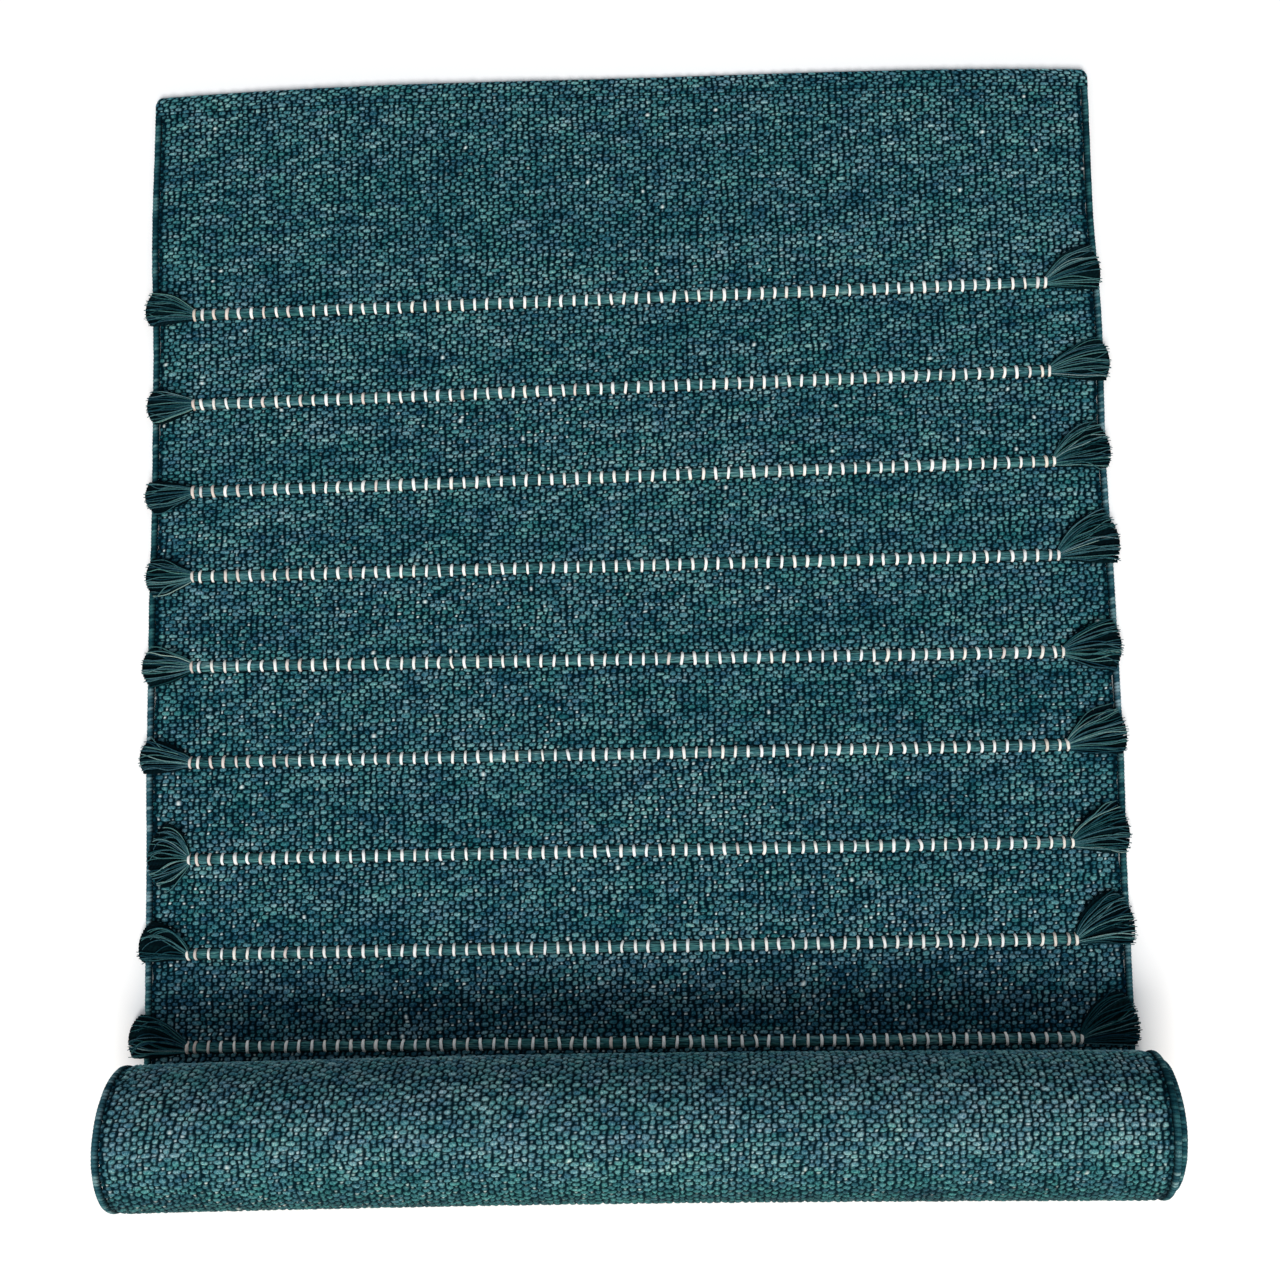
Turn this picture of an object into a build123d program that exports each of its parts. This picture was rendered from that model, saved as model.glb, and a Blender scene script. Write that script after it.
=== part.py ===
from build123d import *
import os
from math import atan2, degrees, pi, sin, cos

# A flat-woven cotton runner, laid face up, with its near end rolled face inwards.
# Millimetres. +X runs across the rug, +Y from the roll to the far end, +Z is up.
# The floor is at Z 0, and the origin is under the middle of the whole object.

# Cloth
RUG_WIDTH = 600.0
CLOTH_THICKNESS = 4.0
SELVEDGE_WIDTH = 4.5
SELVEDGE_ROUND = 1.5
END_BAND_LENGTH = 12.0
END_CORNER_RADIUS = 6.0
FAR_EDGE_BOW = 4.0

# Roll: a two-centre spiral of half turns, wound round an open core
CORE_RADIUS = 7.35
WRAP_GAP = 0.45
HALF_TURNS = 15

# Stripes, counted from the far end. Hand beating leaves each a little off its even place
# and a little out of square: SHIFT moves its middle, RISE lifts its right end.
STRIPE_PITCH = 57.8
FAR_PLAIN = 143.0
ROLL_TO_LAST_STRIPE = 0.2
STRIPE_SHIFT = (0.0, 0.0, 0.9, 2.3, 1.5, 0.9, -0.5, -0.5, 0.0)
STRIPE_RISE = (7.2, 8.3, 6.9, 1.7, -1.9, 0.5, 1.0, 0.5, -2.1)
LEFT_MARGIN = 28.0
RIGHT_MARGIN = 32.0

# Inlaid bundle: a thick weft of loose yarns, sunk in a channel in the cloth
BUNDLE_WIDTH = 6.8
BUNDLE_SINK = 2.4
BUNDLE_CROWN = 2.2
BUNDLE_END = 2.0
CHANNEL_CLEARANCE = 0.05

# White warp floats, which pass over the bundle and hold it. The outermost pair at
# each end is drawn together by the tassel's pull.
FLOAT_PITCH = 7.9
FLOAT_PINCH = 5.0
FLOAT_WIDTH = 2.1
FLOAT_THICKNESS = 0.8
FLOAT_CLEARANCE = 0.05

# Tassels: the bundle's cut ends, fanned out over the margin. Each row holds the reach and
# sideways place of the fan's near corner, then of its far corner, from the bundle's end.
TASSEL_THICKNESS = 2.6
TIP_BULGE = 2.5
LEFT_FANS = (
    (28.0, -7.0, 24.0, 15.0),
    (25.0, -12.0, 26.0, 9.0),
    (25.0, -14.0, 27.0, 6.0),
    (26.0, -13.5, 26.0, 11.0),
    (27.0, -13.0, 26.0, 13.0),
    (28.0, -5.5, 25.0, 16.5),
    (22.0, -20.0, 21.0, 22.0),
    (27.0, -5.5, 22.0, 20.0),
    (32.0, -5.5, 21.0, 20.0),
)
RIGHT_FANS = (
    (31.0, -6.0, 27.0, 22.0),
    (34.0, -7.0, 27.0, 20.0),
    (32.0, -8.0, 27.0, 25.0),
    (34.0, -5.5, 26.0, 28.0),
    (33.0, -13.0, 32.0, 20.0),
    (33.0, -8.5, 28.0, 25.0),
    (32.0, -7.0, 27.0, 25.0),
    (32.0, -4.0, 25.0, 30.0),
    (32.0, -5.0, 28.0, 30.0),
)

# Worked out from the sizes above
WRAP_PITCH = CLOTH_THICKNESS + WRAP_GAP
ROLL_RADIUS = CORE_RADIUS + CLOTH_THICKNESS + (HALF_TURNS - 1) * WRAP_PITCH / 2
STRIPE_COUNT = len(STRIPE_SHIFT)
LAST_STRIPE_Y = ROLL_RADIUS + ROLL_TO_LAST_STRIPE
FLAT_LENGTH = LAST_STRIPE_Y + (STRIPE_COUNT - 1) * STRIPE_PITCH + FAR_PLAIN
CLOTH_WIDTH = RUG_WIDTH - 2 * SELVEDGE_WIDTH
STRIPE_LEFT = LEFT_MARGIN - RUG_WIDTH / 2
STRIPE_RIGHT = RUG_WIDTH / 2 - RIGHT_MARGIN
STRIPE_SPAN = STRIPE_RIGHT - STRIPE_LEFT
BUNDLE_LENGTH = STRIPE_SPAN + 2 * BUNDLE_END
CROWN_RADIUS = ((BUNDLE_WIDTH / 2) ** 2 + BUNDLE_CROWN**2) / (2 * BUNDLE_CROWN)
MIDDLE_Y = (FLAT_LENGTH + FAR_EDGE_BOW - ROLL_RADIUS) / 2
WINDING = HALF_TURNS * pi
INNER_BAND_RADIUS = CORE_RADIUS + CLOTH_THICKNESS / 2
INNER_BAND_ANGLE = END_BAND_LENGTH / INNER_BAND_RADIUS


def along_x(section, start, length):
    """A section drawn in Y and Z, pulled along X from start."""
    return Pos(start, 0, 0) * extrude(Plane.YZ * section, amount=length)


def spiral_point(turn, winding, depth):
    """A point of one half turn, depth below the cloth's outer side, as Y and Z."""
    side = 1 if turn % 2 else -1
    radius = ROLL_RADIUS - turn * WRAP_PITCH / 2 - depth
    centre = ROLL_RADIUS + (turn % 2) * WRAP_PITCH / 2
    swing = winding - turn * pi
    return (side * radius * sin(swing), centre + side * radius * cos(swing))


def spiral_arcs(first, last, depth):
    """The arcs of the spiral between two winding angles, one for each half turn."""
    arcs = []
    for turn in range(HALF_TURNS):
        start = max(first, turn * pi)
        end = min(last, (turn + 1) * pi)
        if end - start > 1e-6:
            ways = (start, (start + end) / 2, end)
            arcs.append(ThreePointArc(*[spiral_point(turn, a, depth) for a in ways]))
    return arcs


def rolled_strip(first, last):
    """The section of the rolled cloth between two winding angles."""
    outer = spiral_arcs(first, last, 0)
    inner = spiral_arcs(first, last, CLOTH_THICKNESS)
    start_cap = Line(outer[0] @ 0, inner[0] @ 0)
    end_cap = Line(outer[-1] @ 1, inner[-1] @ 1)
    return make_face([*outer, end_cap, *inner, start_cap])


def stripe_place(number):
    """Where a stripe's own frame lies: on the cloth's face, along the stripe."""
    y = LAST_STRIPE_Y + (STRIPE_COUNT - 1 - number) * STRIPE_PITCH + STRIPE_SHIFT[number]
    slant = degrees(atan2(STRIPE_RISE[number], STRIPE_SPAN))
    return Location(((STRIPE_LEFT + STRIPE_RIGHT) / 2, y, CLOTH_THICKNESS), (0, 0, slant))


def cloth_flat():
    """The flat part of the ground cloth, with a channel for each bundle."""
    length = FLAT_LENGTH - END_BAND_LENGTH
    low_corner = (Align.CENTER, Align.MIN, Align.MIN)
    cloth = Box(CLOTH_WIDTH, length, CLOTH_THICKNESS, align=low_corner)
    width = BUNDLE_WIDTH + 2 * CHANNEL_CLEARANCE
    channel_length = BUNDLE_LENGTH + 2 * CHANNEL_CLEARANCE
    channel = Box(channel_length, width, 2 * BUNDLE_SINK)
    for number in range(STRIPE_COUNT):
        cloth -= stripe_place(number) * channel
    return cloth


def cloth_roll():
    """The rolled part of the ground cloth, from under the roll to its inner end."""
    section = rolled_strip(0, WINDING - INNER_BAND_ANGLE)
    return along_x(section, -CLOTH_WIDTH / 2, CLOTH_WIDTH)


def selvedge_flat(side):
    """The corded edge of the flat part. side is -1 on the left and 1 on the right."""
    section = RectangleRounded(SELVEDGE_WIDTH, CLOTH_THICKNESS, SELVEDGE_ROUND)
    middle = side * (RUG_WIDTH - SELVEDGE_WIDTH) / 2
    upright = Plane.XZ * Pos(middle, CLOTH_THICKNESS / 2) * section
    return extrude(upright, amount=-(FLAT_LENGTH - END_BAND_LENGTH))


def selvedge_roll(side):
    """The corded edge of the rolled part."""
    start = CLOTH_WIDTH / 2 if side > 0 else -RUG_WIDTH / 2
    return along_x(rolled_strip(0, WINDING - INNER_BAND_ANGLE), start, SELVEDGE_WIDTH)


def end_band_far():
    """The close-packed picks that finish the far end, bowed and round at the corners."""
    half = RUG_WIDTH / 2
    near = FLAT_LENGTH - END_BAND_LENGTH
    sides = Polyline((-half, FLAT_LENGTH), (-half, near), (half, near), (half, FLAT_LENGTH))
    bow = ThreePointArc((half, FLAT_LENGTH), (0, FLAT_LENGTH + FAR_EDGE_BOW), (-half, FLAT_LENGTH))
    outline = make_face([sides, bow])
    corners = outline.vertices().sort_by(Axis.Y)[-2:]
    return extrude(fillet(corners, END_CORNER_RADIUS), amount=CLOTH_THICKNESS)


def end_band_inner():
    """The same finish at the inner end, in the roll's core."""
    section = rolled_strip(WINDING - INNER_BAND_ANGLE, WINDING)
    return along_x(section, -RUG_WIDTH / 2, RUG_WIDTH)


def inlay_bundle():
    """One bundle in a stripe's frame: square in its channel, crowned above the face."""
    half = BUNDLE_WIDTH / 2
    bed = Polyline((-half, 0), (-half, -BUNDLE_SINK), (half, -BUNDLE_SINK), (half, 0))
    crown = ThreePointArc((half, 0), (0, BUNDLE_CROWN), (-half, 0))
    return along_x(make_face([bed, crown]), -BUNDLE_LENGTH / 2, BUNDLE_LENGTH)


def warp_float():
    """One warp end arched over the bundle, with both feet on the cloth's face."""
    centre = Pos(0, BUNDLE_CROWN - CROWN_RADIUS)
    outer = Circle(CROWN_RADIUS + FLOAT_CLEARANCE + FLOAT_THICKNESS)
    inner = Circle(CROWN_RADIUS + FLOAT_CLEARANCE)
    reach = 4 * CROWN_RADIUS
    above = Rectangle(reach, reach, align=(Align.CENTER, Align.MIN))
    arch = (centre * (outer - inner)) & above
    return along_x(arch, -FLOAT_WIDTH / 2, FLOAT_WIDTH)


def float_places():
    """Where the floats stand along a stripe, from its middle."""
    outermost = STRIPE_SPAN / 2
    inner = outermost - FLOAT_PINCH
    gaps = round(2 * inner / FLOAT_PITCH)
    even = [-inner + 2 * inner * i / gaps for i in range(gaps + 1)]
    return [-outermost, *even, outermost]


def tassel(side, fan):
    """One fanned tassel in a stripe's frame, lying on the cloth's face."""
    near_reach, near_y, far_reach, far_y = fan
    half = BUNDLE_WIDTH / 2
    tip = (max(near_reach, far_reach) + TIP_BULGE, (near_y + far_y) / 2)
    near_side = Line((0, -half), (near_reach, near_y))
    cut_ends = ThreePointArc((near_reach, near_y), tip, (far_reach, far_y))
    far_side = Polyline((far_reach, far_y), (0, half), (0, -half))
    body = extrude(make_face([near_side, cut_ends, far_side]), amount=TASSEL_THICKNESS)
    if side < 0:
        body = mirror(body, about=Plane.YZ)
    return Pos(side * BUNDLE_LENGTH / 2, 0, 0) * body


def parts():
    """Every node's name and solid, in the roll's frame."""
    made = {
        "cloth_flat": cloth_flat(),
        "cloth_roll": cloth_roll(),
        "end_band_far": end_band_far(),
        "end_band_inner": end_band_inner(),
    }
    for name, side in (("left", -1), ("right", 1)):
        made[f"selvedge_{name}_flat"] = selvedge_flat(side)
        made[f"selvedge_{name}_roll"] = selvedge_roll(side)
    bundle = inlay_bundle()
    arch = warp_float()
    floats = Compound([Pos(x, 0, 0) * arch for x in float_places()])
    for number in range(STRIPE_COUNT):
        place = stripe_place(number)
        made[f"inlay_bundle_{number + 1}"] = place * bundle
        made[f"warp_floats_{number + 1}"] = place * floats
        made[f"tassel_left_{number + 1}"] = place * tassel(-1, LEFT_FANS[number])
        made[f"tassel_right_{number + 1}"] = place * tassel(1, RIGHT_FANS[number])
    return made


os.makedirs("parts", exist_ok=True)
for node, solid in parts().items():
    export_step(Pos(0, -MIDDLE_Y, 0) * solid, f"parts/{node}.step")
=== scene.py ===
import logging
import math
from dataclasses import dataclass, field
from enum import Enum

import bpy
import numpy as np
from mathutils import Matrix, Vector


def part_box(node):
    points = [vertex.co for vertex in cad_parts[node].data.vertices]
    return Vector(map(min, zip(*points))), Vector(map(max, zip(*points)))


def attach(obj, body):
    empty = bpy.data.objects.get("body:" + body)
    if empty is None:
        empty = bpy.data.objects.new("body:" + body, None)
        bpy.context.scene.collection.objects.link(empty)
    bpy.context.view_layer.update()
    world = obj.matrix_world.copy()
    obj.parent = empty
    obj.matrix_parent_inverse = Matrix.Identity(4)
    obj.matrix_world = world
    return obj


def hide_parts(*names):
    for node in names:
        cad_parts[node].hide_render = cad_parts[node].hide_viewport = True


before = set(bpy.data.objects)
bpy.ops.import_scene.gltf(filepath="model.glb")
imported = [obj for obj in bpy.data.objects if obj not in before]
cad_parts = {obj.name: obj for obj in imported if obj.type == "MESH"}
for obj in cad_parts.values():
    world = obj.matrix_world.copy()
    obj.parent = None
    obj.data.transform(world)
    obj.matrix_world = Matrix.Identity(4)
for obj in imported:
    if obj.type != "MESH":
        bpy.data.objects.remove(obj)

# A flat-woven cotton runner, laid face up with its near end rolled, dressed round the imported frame.
# Metres in the frame, and sizes of yarn in millimetres. +X crosses the rug, +Y runs to its far end.

LOG = logging.getLogger("runner")
MM = 0.001
SEED = 20
# Seams and end caps are too small to need room of their own on the bake map, so they share a corner.
MAP_CORNER = 0.999
# A colour mix has sockets of the same names for its other kinds, so its own go by number.
MIX_SHARE, MIX_ONE, MIX_OTHER, MIX_MADE = 0, 6, 7, 2
# The left tassels nearest the roll curl back, in radians, and those of both sides there get a darker tone,
# painted shade of the roll.
TASSEL_CURLS = {7: 0.5, 8: 0.6, 9: 0.4}
TASSEL_SHADED_TONES = {8: 0.4, 9: 0.33}

Array = np.ndarray
Tile = tuple[float, float, float, float]
# An edge is its points' numbers and how far along it each one is. A stretch is a grid's numbers, x and s.
Edge = tuple[Array, Array]
Stretch = tuple[Array, Array, Array]
Stops = tuple[tuple[float, str], ...]


class Side(Enum):
    """The rug's two long edges."""

    LEFT = -1
    RIGHT = 1


class Layer(Enum):
    """The cloth's two sides: the face is up on the flat and inside the roll."""

    FACE = "face"
    BACK = "back"


def linear(colour: str) -> tuple[float, float, float, float]:
    """Turns an sRGB hex colour to linear.

    Args:
        colour: six hex digits, such as "2d5158".

    Returns:
        Red, green, blue and alpha, linear.
    """
    parts = [int(colour[i : i + 2], 16) / 255 for i in (0, 2, 4)]
    return (*[p / 12.92 if p <= 0.04045 else ((p + 0.055) / 1.055) ** 2.4 for p in parts], 1.0)


def ease(t: Array) -> Array:
    """Smooth step of values from 0 to 1."""
    t = np.clip(t, 0, 1)
    return t * t * (3 - 2 * t)


class Wander:
    """A smooth random field over a plane, for yarn that is never quite even."""

    def __init__(self, seed: int, cell_x: float, cell_y: float, size: int = 64) -> None:
        """Draws the field's lattice.

        Args:
            seed: names the field; the same seed gives the same field.
            cell_x: distance between lattice values along the first direction.
            cell_y: distance between lattice values along the second direction.
            size: how many values before the field repeats.
        """
        self.values = np.random.default_rng(SEED * 1000 + seed).uniform(-1, 1, (size, size))
        self.cell_x, self.cell_y, self.size = cell_x, cell_y, size

    def at(self, x: Array, y: Array) -> Array:
        """The field's value, from -1 to 1.

        Args:
            x: places along the first direction.
            y: places along the second direction.

        Returns:
            One value for each place.
        """
        u, v = np.asarray(x) / self.cell_x, np.asarray(y) / self.cell_y
        i, j = np.floor(u).astype(int), np.floor(v).astype(int)
        a, b = ease(u - i), ease(v - j)
        n = self.size
        low = self.values[i % n, j % n] * (1 - a) + self.values[(i + 1) % n, j % n] * a
        high = self.values[i % n, (j + 1) % n] * (1 - a) + self.values[(i + 1) % n, (j + 1) % n] * a
        return low * (1 - b) + high * b


class Patchwork:
    """Collects the grids and seams of one piece's mesh, then makes its Blender object."""

    def __init__(self) -> None:
        """Starts with no points."""
        self.points: list[Array] = []
        self.traits: dict[str, list[Array]] = {}
        self.quads: list[Array] = []
        self.quad_maps: list[Array] = []
        self.triangles: list[Array] = []
        self.maps: list[Array] = []
        self.count = 0

    def add_points(self, points: Array, traits: dict[str, Array]) -> Array:
        """Adds points with their traits.

        Args:
            points: places, of any shape with 3 as its last length.
            traits: one value a point for each named trait.

        Returns:
            The points' numbers, in the shape given.
        """
        shape = points.shape[:-1]
        flat = points.reshape(-1, 3)
        for name in sorted({*self.traits, *traits}):
            if name not in self.traits:
                self.traits[name] = [np.zeros(self.count)]
            given = np.asarray(traits.get(name, 0.0), float)
            self.traits[name].append(np.broadcast_to(given, shape).reshape(-1))
        self.points.append(flat)
        numbers = np.arange(self.count, self.count + len(flat)).reshape(shape)
        self.count += len(flat)
        return numbers

    def grid(
        self,
        points: Array,
        traits: dict[str, Array],
        tile: Tile,
        ring: bool = False,
        flip: bool = False,
    ) -> Array:
        """Adds a grid of quads.

        Args:
            points: rows by columns of places.
            traits: one value a point for each named trait.
            tile: the grid's place on the bake map: low u, low v, high u, high v.
            ring: joins the last column to the first, as round a tube.
            flip: turns the faces over.

        Returns:
            The points' numbers, rows by columns.
        """
        numbers = self.add_points(points, traits)
        rows, columns = numbers.shape
        across = columns if ring else columns - 1
        r, c = np.meshgrid(np.arange(rows - 1), np.arange(across), indexing="ij")
        r, c = r.ravel(), c.ravel()
        corners = [(r, c), (r, c + 1), (r + 1, c + 1), (r + 1, c)]
        if flip:
            corners.reverse()
        self.quads.append(np.stack([numbers[a, b % columns] for a, b in corners], 1))
        u0, v0, u1, v1 = tile
        self.quad_maps.append(
            np.stack(
                [
                    np.stack([u0 + (u1 - u0) * b / across, v0 + (v1 - v0) * a / (rows - 1)], 1)
                    for a, b in corners
                ],
                1,
            )
        )
        return numbers

    def seam(self, first: Edge, second: Edge) -> None:
        """Joins two edges of unequal counts with triangles.

        Args:
            first: one edge.
            second: the other edge, in the same direction.
        """
        (one, one_at), (other, other_at) = first, second
        i, j, made = 0, 0, []
        while i < len(one) - 1 or j < len(other) - 1:
            step_one = j == len(other) - 1
            if not step_one and i < len(one) - 1:
                step_one = one_at[i + 1] <= other_at[j + 1]
            if step_one:
                made.append((one[i], one[i + 1], other[j]))
                i += 1
            else:
                made.append((one[i], other[j + 1], other[j]))
                j += 1
        self.triangles.append(np.array(made))
        self.maps.append(np.full((len(made), 3, 2), MAP_CORNER))

    def cap(self, rim: Array, centre: Array, traits: dict[str, float], flip: bool) -> None:
        """Closes a tube's end with a fan.

        Args:
            rim: numbers of the end's ring of points.
            centre: the fan's middle.
            traits: the middle's traits.
            flip: turns the fan over.
        """
        middle = self.add_points(centre.reshape(1, 3), {k: np.array([v]) for k, v in traits.items()})
        following = np.roll(rim, -1)
        pair = (following, rim) if flip else (rim, following)
        self.triangles.append(np.stack([*pair, np.full(len(rim), middle[0])], 1))
        self.maps.append(np.full((len(rim), 3, 2), MAP_CORNER))

    def make(self, name: str, material: bpy.types.Material) -> bpy.types.Object:
        """Makes the mesh object.

        Args:
            name: the piece's name.
            material: the finish of the whole piece.

        Returns:
            The new object, smooth shaded, with its traits as attributes.
        """
        mesh = bpy.data.meshes.new(name)
        points = np.concatenate(self.points).astype(np.float32)
        quads = np.concatenate(self.quads) if self.quads else np.zeros((0, 4), int)
        triangles = np.concatenate(self.triangles) if self.triangles else np.zeros((0, 3), int)
        loops = np.concatenate([quads.ravel(), triangles.ravel()]).astype(np.int32)
        starts = np.concatenate(
            [np.arange(len(quads)) * 4, len(quads) * 4 + np.arange(len(triangles)) * 3]
        ).astype(np.int32)
        mesh.vertices.add(len(points))
        mesh.vertices.foreach_set("co", points.ravel())
        mesh.loops.add(len(loops))
        mesh.loops.foreach_set("vertex_index", loops)
        mesh.polygons.add(len(starts))
        mesh.polygons.foreach_set("loop_start", starts)
        mesh.polygons.foreach_set("use_smooth", np.ones(len(starts), bool))
        for trait, values in self.traits.items():
            layer = mesh.attributes.new(trait, "FLOAT", "POINT")
            layer.data.foreach_set("value", np.concatenate(values).astype(np.float32))
        maps = [m.reshape(-1, 2) for m in [*self.quad_maps, *self.maps]]
        mesh.uv_layers.new(name="OFBake").data.foreach_set(
            "uv", np.concatenate(maps).astype(np.float32).ravel()
        )
        mesh.materials.append(material)
        mesh.update(calc_edges=True)
        mesh.validate()
        made = bpy.data.objects.new(name, mesh)
        bpy.context.scene.collection.objects.link(made)
        return made


def add_node(
    tree: bpy.types.NodeTree,
    kind: str,
    settings: dict[str, object] | None = None,
    links: dict[object, object] | None = None,
) -> bpy.types.Node:
    """Adds one node with its settings and links.

    Args:
        tree: the material's node tree.
        kind: the node's type name.
        settings: properties by name, and socket values by socket name or number.
        links: output sockets by the input's name or number.

    Returns:
        The new node.
    """
    node = tree.nodes.new(kind)
    for key, value in (settings or {}).items():
        if isinstance(key, str) and key in node.bl_rna.properties:
            setattr(node, key, value)
        else:
            node.inputs[key].default_value = value
    for key, output in (links or {}).items():
        tree.links.new(output, node.inputs[key])
    return node


def set_stops(node: bpy.types.Node, stops: Stops) -> None:
    """Gives a colour ramp its stops.

    Args:
        node: the ramp.
        stops: each stop's place and sRGB hex colour, in order.
    """
    ramp = node.color_ramp
    while len(ramp.elements) < len(stops):
        ramp.elements.new(0.5)
    for element, (place, colour) in zip(ramp.elements, stops):
        element.position = place
        element.color = linear(colour)


@dataclass(frozen=True)
class CottonYarn:
    """Dull spun cotton: short fibres scatter the light, so there is no gloss, only a soft bloom."""

    name: str
    warm: Stops
    cool: Stops
    fleck: str
    roughness: float = 0.92
    gloss: float = 0.02
    bloom: float = 0.008
    # The colour of the painted shade in the gaps between and under yarns.
    hollow_shade: str = "00151e"
    gap_edge: float = 0.04
    crest_edge: float = 0.76
    # Fibre sizes in millimetres, and how much they sway the tone.
    fibre_size: float = 0.8
    fibre_depth: float = 0.14
    fibre_contrast: float = 0.6
    spin_stretch: float = 1.0

    def build(self) -> bpy.types.Material:
        """Makes the material: dyed tone by yarn, painted shade in the hollows between yarns, fine fibres.

        Returns:
            The finished material.
        """
        material = bpy.data.materials.new(self.name)
        material.use_nodes = True
        tree = material.node_tree
        tree.nodes.clear()
        place = add_node(tree, "ShaderNodeTexCoord")
        spun = add_node(
            tree,
            "ShaderNodeMapping",
            {"Scale": (1 / self.spin_stretch, 1.0, 1.0)},
            {"Vector": place.outputs["Object"]},
        )
        fibres = add_node(
            tree,
            "ShaderNodeTexNoise",
            {"Scale": 1 / (self.fibre_size * MM), "Detail": 3.0, "Roughness": 0.65},
            {"Vector": spun.outputs["Vector"]},
        )
        traits = {
            name: add_node(tree, "ShaderNodeAttribute", {"attribute_name": name}).outputs["Fac"]
            for name in ("tone", "hue", "crest", "fleck")
        }
        fine = add_node(
            tree,
            "ShaderNodeMath",
            {"operation": "MULTIPLY_ADD", 1: self.fibre_contrast, 2: -self.fibre_contrast / 2},
            {0: fibres.outputs["Fac"]},
        )
        mixed = add_node(
            tree,
            "ShaderNodeMath",
            {"operation": "ADD"},
            {0: traits["tone"], 1: fine.outputs[0]},
        )
        dyed = {"Fac": mixed.outputs[0]}
        warm, cool = (add_node(tree, "ShaderNodeValToRGB", {}, dyed) for _ in range(2))
        set_stops(warm, self.warm)
        set_stops(cool, self.cool)
        dye = add_node(
            tree,
            "ShaderNodeMix",
            {"data_type": "RGBA"},
            {MIX_SHARE: traits["hue"], MIX_ONE: warm.outputs["Color"], MIX_OTHER: cool.outputs["Color"]},
        )
        flecked = add_node(
            tree,
            "ShaderNodeMix",
            {"data_type": "RGBA", MIX_OTHER: linear(self.fleck)},
            {MIX_SHARE: traits["fleck"], MIX_ONE: dye.outputs[MIX_MADE]},
        )
        # Painted shade: where the crest trait is low, the colour is mixed towards the shade colour of the
        # gaps.
        depth = add_node(
            tree,
            "ShaderNodeMapRange",
            {
                "interpolation_type": "SMOOTHSTEP",
                "From Min": self.gap_edge,
                "From Max": self.crest_edge,
            },
            {"Value": traits["crest"]},
        )
        shaded = add_node(
            tree,
            "ShaderNodeMix",
            {"data_type": "RGBA", MIX_ONE: linear(self.hollow_shade)},
            {MIX_SHARE: depth.outputs["Result"], MIX_OTHER: flecked.outputs[MIX_MADE]},
        )
        relief = add_node(
            tree,
            "ShaderNodeBump",
            {"Strength": 0.6, "Distance": self.fibre_depth * MM},
            {"Height": fibres.outputs["Fac"]},
        )
        cotton = add_node(
            tree,
            "ShaderNodeBsdfPrincipled",
            {
                "Roughness": self.roughness,
                "IOR": 1.5,
                "Specular IOR Level": self.gloss,
                "Sheen Weight": self.bloom,
                "Sheen Roughness": 0.5,
            },
            {"Base Color": shaded.outputs[MIX_MADE], "Normal": relief.outputs["Normal"]},
        )
        add_node(tree, "ShaderNodeOutputMaterial", {}, {"Surface": cotton.outputs["BSDF"]})
        return material


# Two dye lots of teal: one leans to green, the other to a greyed blue.
GREEN_TEAL: Stops = ((0.0, "022f38"), (0.3, "195b60"), (0.55, "428384"), (0.8, "6ea5a2"), (1.0, "a4c8c1"))
BLUE_TEAL: Stops = ((0.0, "021f38"), (0.3, "19475d"), (0.55, "447083"), (0.8, "759aa5"), (1.0, "aec2cb"))
PALE_FLECK = "e2ece9"


@dataclass(frozen=True)
class MelangeWeft(CottonYarn):
    """The ground cloth's thick weft: matt, mottled from navy to pale teal, with painted shade black between
    grains.

    Its fibres are drawn as tufts about a millimetre wide, coarser than real ones, so that they show.
    """

    name: str = "melange_cotton_weft"
    warm: Stops = GREEN_TEAL
    cool: Stops = BLUE_TEAL
    fleck: str = PALE_FLECK
    fibre_size: float = 1.0
    fibre_contrast: float = 1.3
    fibre_depth: float = 0.2


@dataclass(frozen=True)
class UndyedWarp(CottonYarn):
    """The warp's natural cotton: chalky off-white, with a slight cream cast."""

    name: str = "undyed_cotton_warp"
    warm: Stops = ((0.0, "c4b4a4"), (0.5, "f7f1e6"), (1.0, "fffefa"))
    cool: Stops = ((0.0, "b4aeac"), (0.5, "f0f1f0"), (1.0, "fdffff"))
    fleck: str = "cdb9b0"
    # The colour of the painted shade on the floats' undersides and between their plies.
    hollow_shade: str = "8d8378"


@dataclass(frozen=True)
class LooseInlay(CottonYarn):
    """The inlaid yarns, hardly twisted: smoother and a little greener than the ground."""

    name: str = "loose_inlay_cotton"
    warm: Stops = ((0.0, "0c3038"), (0.4, "2f6466"), (0.7, "4c8582"), (1.0, "86b3a8"))
    cool: Stops = ((0.0, "0a2638"), (0.4, "2c5566"), (0.7, "4d7884"), (1.0, "8aa8ae"))
    fleck: str = PALE_FLECK
    spin_stretch: float = 4.0


@dataclass(frozen=True)
class TwistedTassel(CottonYarn):
    """The tassels' plied yarn: deep teal, with painted shade dark in the gaps where the yarns part."""

    name: str = "plied_tassel_cotton"
    warm: Stops = ((0.0, "02181c"), (0.35, "174549"), (0.65, "4a7a76"), (1.0, "9db5aa"))
    cool: Stops = ((0.0, "02131c"), (0.35, "17394a"), (0.65, "4d6f79"), (1.0, "9fb0b2"))
    fleck: str = PALE_FLECK
    hollow_shade: str = "010a0e"


@dataclass(frozen=True)
class CordedEdge(CottonYarn):
    """The selvedge: weft packed round doubled warp ends, which reads as a firm dull rib."""

    name: str = "corded_selvedge_cotton"
    warm: Stops = ((0.0, "04181e"), (0.35, "16424a"), (0.7, "356a6c"), (1.0, "7fa5a3"))
    cool: Stops = ((0.0, "041420"), (0.35, "163748"), (0.7, "365c6c"), (1.0, "7f9aa6"))
    fleck: str = PALE_FLECK


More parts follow.
